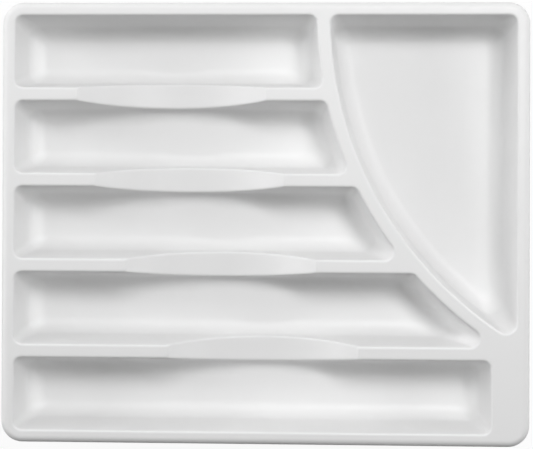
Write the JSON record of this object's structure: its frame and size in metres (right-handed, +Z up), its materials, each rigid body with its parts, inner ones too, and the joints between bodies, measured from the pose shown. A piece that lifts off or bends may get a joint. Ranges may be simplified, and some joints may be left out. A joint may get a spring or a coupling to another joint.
{
  "type": "cutlery tray",
  "caption": "Shallow white plastic drawer tray with long cutlery pockets, a curved serving pocket, finger dips in the dividers and soft feet below.",
  "frame": {"origin": "on the surface that the feet stand on, under the middle of the tray's outline", "axes": "+X to the right along the pockets, +Y to the back, +Z up out of the pockets"},
  "size_m": [0.394, 0.33, 0.0485],
  "materials": {
    "tray_plastic": "satin",
    "foot_rubber": "matte"
  },
  "bodies": {
    "root": {"tray_moulding": "tray_plastic", "foot_rear_left": "foot_rubber", "foot_rear_right": "foot_rubber", "foot_middle_left": "foot_rubber", "foot_middle_right": "foot_rubber", "foot_front_left": "foot_rubber", "foot_front_right": "foot_rubber"}
  },
  "joints": []
}
